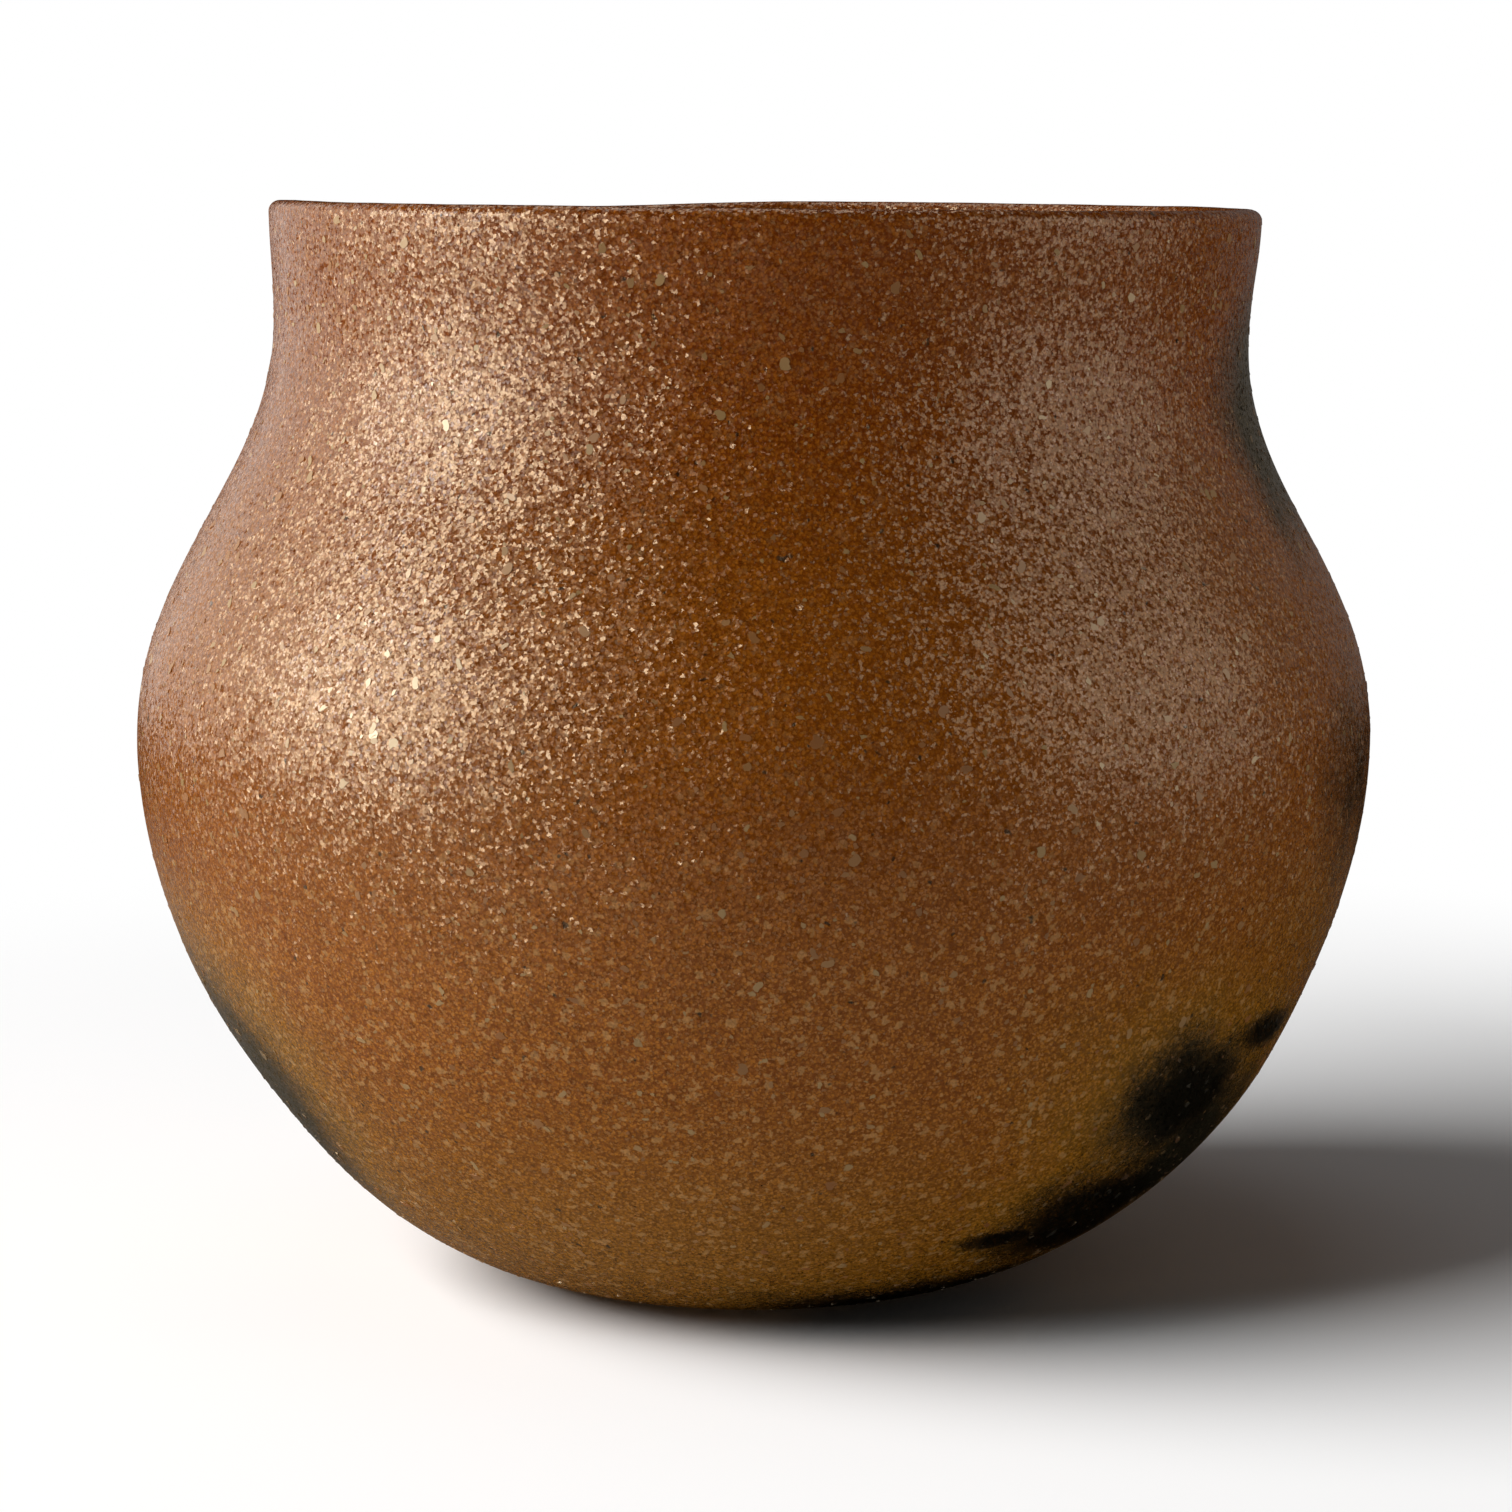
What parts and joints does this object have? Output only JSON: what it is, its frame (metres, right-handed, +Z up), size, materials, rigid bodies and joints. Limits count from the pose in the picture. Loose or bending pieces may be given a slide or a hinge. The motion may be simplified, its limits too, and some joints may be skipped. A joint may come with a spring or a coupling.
{
  "type": "clay jar",
  "caption": "Hand-coiled micaceous clay cooking jar with a round bottom, full belly, short upright neck and wide open mouth.",
  "frame": {"origin": "middle of the flat that the jar rests on, on its underside", "axes": "+Z up through the mouth, +X to the right as the picture sees the jar, +Y away from the camera"},
  "size_m": [0.2, 0.2, 0.1749],
  "materials": {
    "micaceous_clay": "burnished, low fired, glittering with mica",
    "smoked_clay": "burnished, low fired, darkened by the fire"
  },
  "bodies": {
    "root": {"base_bowl": "smoked_clay", "lower_coil_1": "smoked_clay", "lower_coil_2": "smoked_clay", "lower_coil_3": "micaceous_clay", "lower_coil_4": "micaceous_clay", "lower_coil_5": "micaceous_clay", "shoulder_coil_1": "micaceous_clay", "shoulder_coil_2": "micaceous_clay", "shoulder_coil_3": "micaceous_clay", "shoulder_coil_4": "micaceous_clay", "neck_coil": "micaceous_clay", "rim_coil": "micaceous_clay"}
  },
  "joints": []
}
